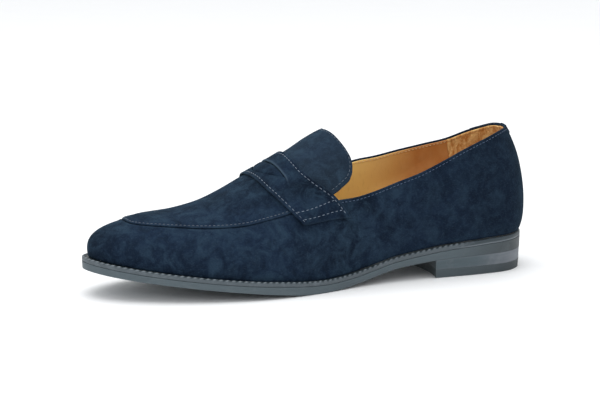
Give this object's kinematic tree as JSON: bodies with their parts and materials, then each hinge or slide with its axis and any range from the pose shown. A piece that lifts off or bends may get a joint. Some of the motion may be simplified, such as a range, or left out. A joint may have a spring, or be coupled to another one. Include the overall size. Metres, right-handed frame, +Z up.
{
  "type": "penny loafer",
  "caption": "Left suede penny loafer: low heel, notched welt, raised apron, slotted saddle strap, free tongue and leather-lined foot opening.",
  "frame": {"origin": "on the floor, under the middle of the shoe's length and width", "axes": "+Z up, +Y towards the heel, so the toe points along -Y, and +X towards the outer side of the left foot"},
  "size_m": [0.102, 0.3026, 0.097],
  "materials": {
    "suede": "napped, matt",
    "smooth_lining": "smooth, slight sheen",
    "rough_lining": "rough side out",
    "sole_rubber": "smooth, satin",
    "heel_rubber": "matt",
    "fibreboard": "raw board",
    "cork": "granular, matt",
    "foam": "open foam",
    "stiffener": "matt",
    "steel": "plain"
  },
  "bodies": {
    "shoe": {"vamp": "suede", "apron": "suede", "saddle_strap": "suede", "heel_tab": "suede", "vamp_lining": "smooth_lining", "apron_lining": "smooth_lining", "quarter_lining_lateral": "smooth_lining", "quarter_lining_medial": "smooth_lining", "sock_lining": "smooth_lining", "heel_grip": "rough_lining", "outsole": "sole_rubber", "welt": "sole_rubber", "heel_block": "sole_rubber", "heel_top_piece": "heel_rubber", "insole_board": "fibreboard", "cork_filler": "cork", "heel_pad": "foam", "heel_counter": "stiffener", "toe_puff": "stiffener", "shank": "steel", "heel_nail_1": "steel", "heel_nail_2": "steel", "heel_nail_3": "steel", "heel_nail_4": "steel", "heel_nail_5": "steel"},
    "tongue": {"tongue": "suede", "tongue_lining": "smooth_lining"}
  },
  "joints": [
    {"name": "tongue_lift", "type": "hinge", "parent": "shoe", "child": "tongue", "pos_m": [0, -0.0153, 0.084], "axis": [1, 0, 0], "range_deg": [0, 22], "stiffness_Nm_per_rad": 0.03}
  ]
}
